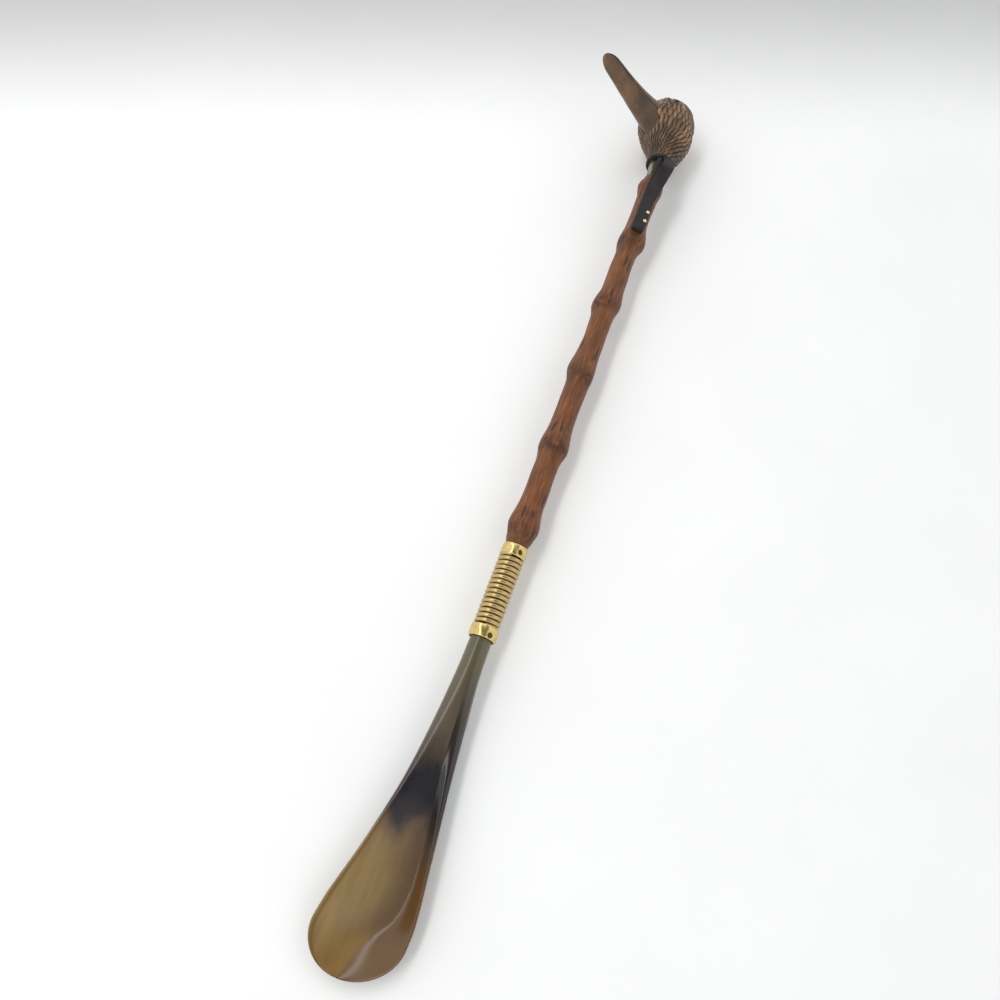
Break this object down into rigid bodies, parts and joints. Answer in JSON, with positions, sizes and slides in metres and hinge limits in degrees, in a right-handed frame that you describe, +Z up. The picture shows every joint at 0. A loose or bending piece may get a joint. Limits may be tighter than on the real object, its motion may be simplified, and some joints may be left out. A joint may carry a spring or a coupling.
{
  "type": "long-handled shoehorn",
  "caption": "Long shoehorn with a spoon-shaped horn blade, wire-whipped brass joint, knuckled wooden shaft, bird's-head grip and hanging strap.",
  "frame": {"origin": "middle of the underside of the bounding box, on the surface the shoehorn lies on", "axes": "+Y along the shaft from the blade's tip towards the bird's head, +Z up with the blade's trough opening upwards, and the bill leaning up towards -X"},
  "size_m": [0.0808, 0.6274, 0.0735],
  "materials": {
    "horn": "polished horn, dark at the neck and honey-coloured at the tip",
    "joint_brass": "polished, lightly hammered",
    "shaft_wood": "stained red-brown with a satin varnish",
    "collar_metal": "dull grey plating, turned",
    "stud_steel": "plain",
    "carved_wood": "carved, stained dark in the cuts and waxed",
    "eye_bead": "gloss",
    "strap_leather": "smooth, semi-matt",
    "nail_brass": "polished"
  },
  "bodies": {
    "root": {"horn_blade": "horn", "lower_band": "joint_brass", "upper_band": "joint_brass", "whipping_wire": "joint_brass", "joint_sleeve": "joint_brass", "wood_shaft": "shaft_wood", "neck_collar": "collar_metal", "blade_stud": "stud_steel", "head_stud": "stud_steel", "bird_head": "carved_wood", "eye_near": "eye_bead", "eye_far": "eye_bead", "hanging_strap": "strap_leather", "strap_nail_lower": "nail_brass", "strap_nail_upper": "nail_brass"}
  },
  "joints": []
}
